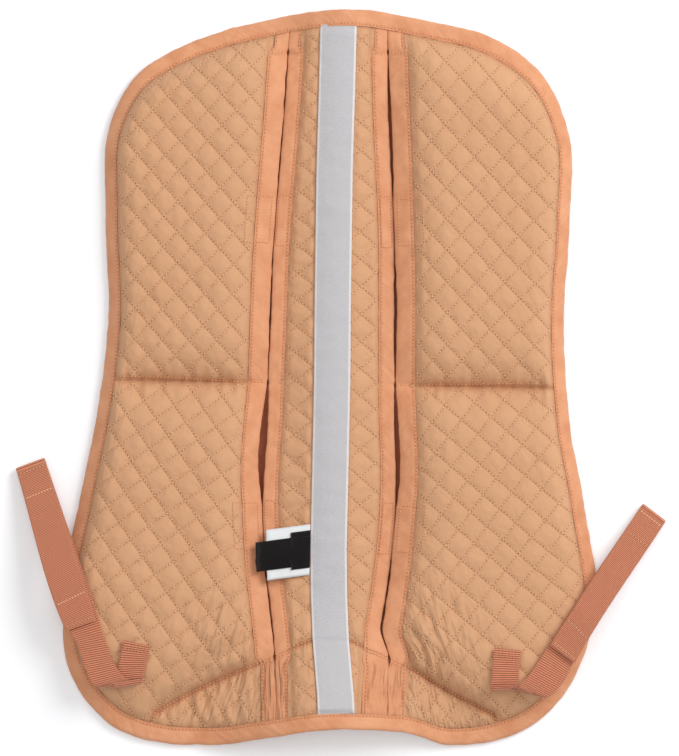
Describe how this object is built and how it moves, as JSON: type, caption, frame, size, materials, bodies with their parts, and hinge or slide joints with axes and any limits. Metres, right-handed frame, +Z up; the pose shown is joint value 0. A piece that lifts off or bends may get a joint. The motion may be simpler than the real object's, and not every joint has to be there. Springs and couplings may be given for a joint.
{
  "type": "saddle half pad",
  "caption": "Open quilted half pad that lies under a riding saddle: foam-filled panels joined along a spine tape, bound edges, slit pockets for the foam and webbing straps at the front.",
  "frame": {"origin": "centre of the footprint of the pad with its straps as they lie, on the plane that its underside rests on", "axes": "+Y from the withers end towards the cantle end, +Z up, +X across the pad, to the right when it is seen from above with the withers end nearest. The node names' left and right are meant that way too"},
  "size_m": [0.5396, 0.6061, 0.0481],
  "materials": {
    "quilted_cotton": "matt woven cotton, quilted",
    "bias_binding": "fine woven bias tape",
    "spine_webbing": "flat woven tape",
    "strap_webbing": "ribbed webbing",
    "memory_foam": "soft open-cell foam",
    "hook_and_loop": "hook-and-loop pile",
    "white_label": "satin ribbon",
    "black_label": "woven label"
  },
  "bodies": {
    "left_half": {"left_lower_shell": "quilted_cotton", "left_spine_panel": "quilted_cotton", "left_pocket_cover": "quilted_cotton", "left_rear_foam": "memory_foam", "left_front_foam": "memory_foam", "left_edge_binding": "bias_binding", "left_cover_slit_binding": "bias_binding", "left_spine_slit_binding": "bias_binding", "left_rear_hook_patch": "hook_and_loop", "left_rear_loop_tab": "hook_and_loop", "left_front_hook_patch": "hook_and_loop", "left_front_loop_tab": "hook_and_loop", "spine_tape": "spine_webbing", "left_strap_anchor": "strap_webbing"},
    "right_half": {"right_lower_shell": "quilted_cotton", "right_spine_panel": "quilted_cotton", "right_pocket_cover": "quilted_cotton", "right_rear_foam": "memory_foam", "right_front_foam": "memory_foam", "right_edge_binding": "bias_binding", "right_cover_slit_binding": "bias_binding", "right_spine_slit_binding": "bias_binding", "right_rear_hook_patch": "hook_and_loop", "right_rear_loop_tab": "hook_and_loop", "right_front_hook_patch": "hook_and_loop", "right_front_loop_tab": "hook_and_loop", "right_strap_anchor": "strap_webbing"},
    "left_strap_run": {"left_strap": "strap_webbing", "left_strap_loop_tape": "hook_and_loop"},
    "left_strap_end": {"left_strap_tail": "strap_webbing", "left_strap_hook_tape": "hook_and_loop"},
    "right_strap_run": {"right_strap": "strap_webbing", "right_strap_loop_tape": "hook_and_loop"},
    "right_strap_end": {"right_strap_tail": "strap_webbing", "right_strap_hook_tape": "hook_and_loop"},
    "sewn_labels": {"care_label": "white_label", "size_tag": "black_label"},
    "top_label": {"woven_label": "black_label"}
  },
  "joints": [
    {"name": "spine_fold", "type": "hinge", "parent": "left_half", "child": "right_half", "pos_m": [-0.0093, 0, 0.0115], "axis": [0, 1, 0], "range_deg": [0, 140]},
    {"name": "left_strap_swing", "type": "hinge", "parent": "left_half", "child": "left_strap_run", "pos_m": [-0.1792, -0.2558, 0.03663], "axis": [0.9858, 0.1678, 0], "range_deg": [0, 150]},
    {"name": "left_tail_peel", "type": "hinge", "parent": "left_strap_run", "child": "left_strap_end", "pos_m": [-0.2567, -0.07798, 0.00825], "axis": [-0.9307, -0.3659, 0], "range_deg": [0, 170]},
    {"name": "right_strap_swing", "type": "hinge", "parent": "right_half", "child": "right_strap_run", "pos_m": [0.1502, -0.2565, 0.03711], "axis": [0.9858, -0.1678, 0], "range_deg": [0, 150]},
    {"name": "right_tail_peel", "type": "hinge", "parent": "right_strap_run", "child": "right_strap_end", "pos_m": [0.25899, -0.10842, 0.0075], "axis": [-0.806, 0.5919, 0], "range_deg": [0, 170]},
    {"name": "label_lift", "type": "hinge", "parent": "left_half", "child": "sewn_labels", "pos_m": [-0.0243, -0.143, 0.02097], "axis": [0, 1, 0], "range_deg": [0, 90]},
    {"name": "woven_label_lift", "type": "hinge", "parent": "sewn_labels", "child": "top_label", "pos_m": [-0.0243, -0.143, 0.02097], "axis": [0, 1, 0], "range_deg": [0, 80]}
  ]
}
